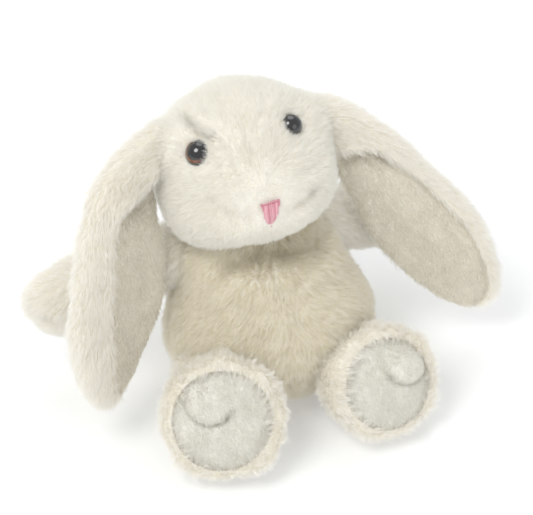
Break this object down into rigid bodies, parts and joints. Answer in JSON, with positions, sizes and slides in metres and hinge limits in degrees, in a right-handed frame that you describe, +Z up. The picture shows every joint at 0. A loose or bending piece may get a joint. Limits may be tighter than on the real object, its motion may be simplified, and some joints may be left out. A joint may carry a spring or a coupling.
{
  "type": "stuffed rabbit toy",
  "caption": "Seated plush rabbit with long lop ears, stub arms held out sideways, big flat-soled feet, plastic eyes and an embroidered nose.",
  "frame": {"origin": "on the floor under the middle of the seat, on the seat's flat base", "axes": "+Z up, the rabbit looks along -Y, +X is the rabbit's own left"},
  "size_m": [0.1899, 0.1222, 0.1286],
  "materials": {
    "plush_cream": "cut pile",
    "nap_lining": "short napped velour",
    "sole_nap": "short napped velour",
    "filling": "loose polyester fibre",
    "eye_brown": "glossy",
    "eye_black": "glossy",
    "washer_white": "satin",
    "pellets": "satin",
    "pouch_cloth": "plain weave",
    "thread_pink": "satin stitch thread",
    "thread_cream": "twisted thread"
  },
  "bodies": {
    "torso": {"bean_pellets": "pellets", "bean_pouch": "pouch_cloth", "closing_stitches": "thread_cream", "seat_panel": "plush_cream", "torso_back_left": "plush_cream", "torso_back_right": "plush_cream", "torso_front_left": "plush_cream", "torso_front_right": "plush_cream", "torso_stuffing": "filling"},
    "neck": {"neck_seam_thread": "thread_cream"},
    "head": {"chin_panel": "plush_cream", "ear_root_threads": "thread_cream", "eye_left": "eye_brown", "eye_pupils": "eye_black", "eye_right": "eye_brown", "eye_washers": "washer_white", "head_gusset": "plush_cream", "head_side_left": "plush_cream", "head_side_right": "plush_cream", "head_stuffing": "filling", "mouth_stitch": "thread_cream", "nose_embroidery": "thread_pink"},
    "ear_left": {"ear_lining_left": "nap_lining", "ear_outer_left": "plush_cream", "ear_wadding_left": "filling"},
    "ear_right": {"ear_lining_right": "nap_lining", "ear_outer_right": "plush_cream", "ear_wadding_right": "filling"},
    "arm_left": {"arm_back_left": "plush_cream", "arm_front_left": "plush_cream", "arm_stuffing_left": "filling"},
    "arm_right": {"arm_back_right": "plush_cream", "arm_front_right": "plush_cream", "arm_stuffing_right": "filling"},
    "leg_left": {"foot_stuffing_left": "filling", "leg_inner_left": "plush_cream", "leg_outer_left": "plush_cream", "sole_left": "sole_nap"},
    "leg_right": {"foot_stuffing_right": "filling", "leg_inner_right": "plush_cream", "leg_outer_right": "plush_cream", "sole_right": "sole_nap"},
    "tail": {"tail_cover": "plush_cream", "tail_stuffing": "filling"}
  },
  "joints": [
    {"name": "head_turn", "type": "hinge", "parent": "torso", "child": "neck", "pos_m": [0, 0.013, 0.079], "axis": [0, 0, 1], "range_deg": [-4, 4]},
    {"name": "head_nod", "type": "hinge", "parent": "neck", "child": "head", "pos_m": [0, 0.013, 0.079], "axis": [1, 0, 0], "range_deg": [-6, 5]},
    {"name": "ear_left_lift", "type": "hinge", "parent": "head", "child": "ear_left", "pos_m": [0.0343, 0.017, 0.118], "axis": [0, -1, 0], "range_deg": [-2, 95]},
    {"name": "ear_right_lift", "type": "hinge", "parent": "head", "child": "ear_right", "pos_m": [-0.0349, 0.0188, 0.1156], "axis": [0, 1, 0], "range_deg": [-2, 95]},
    {"name": "arm_left_lift", "type": "hinge", "parent": "torso", "child": "arm_left", "pos_m": [0.03, 0.015, 0.06], "axis": [0, -1, 0], "range_deg": [-22, 6]},
    {"name": "arm_right_lift", "type": "hinge", "parent": "torso", "child": "arm_right", "pos_m": [-0.03, 0.015, 0.06], "axis": [0, 1, 0], "range_deg": [-22, 6]},
    {"name": "leg_left_lift", "type": "hinge", "parent": "torso", "child": "leg_left", "pos_m": [0.027, -0.017, 0.019], "axis": [-1, 0, 0], "range_deg": [0, 18]},
    {"name": "leg_right_lift", "type": "hinge", "parent": "torso", "child": "leg_right", "pos_m": [-0.027, -0.017, 0.019], "axis": [-1, 0, 0], "range_deg": [0, 18]},
    {"name": "tail_wiggle", "type": "hinge", "parent": "torso", "child": "tail", "pos_m": [0, 0.034, 0.017], "axis": [1, 0, 0], "range_deg": [-10, 10]}
  ]
}
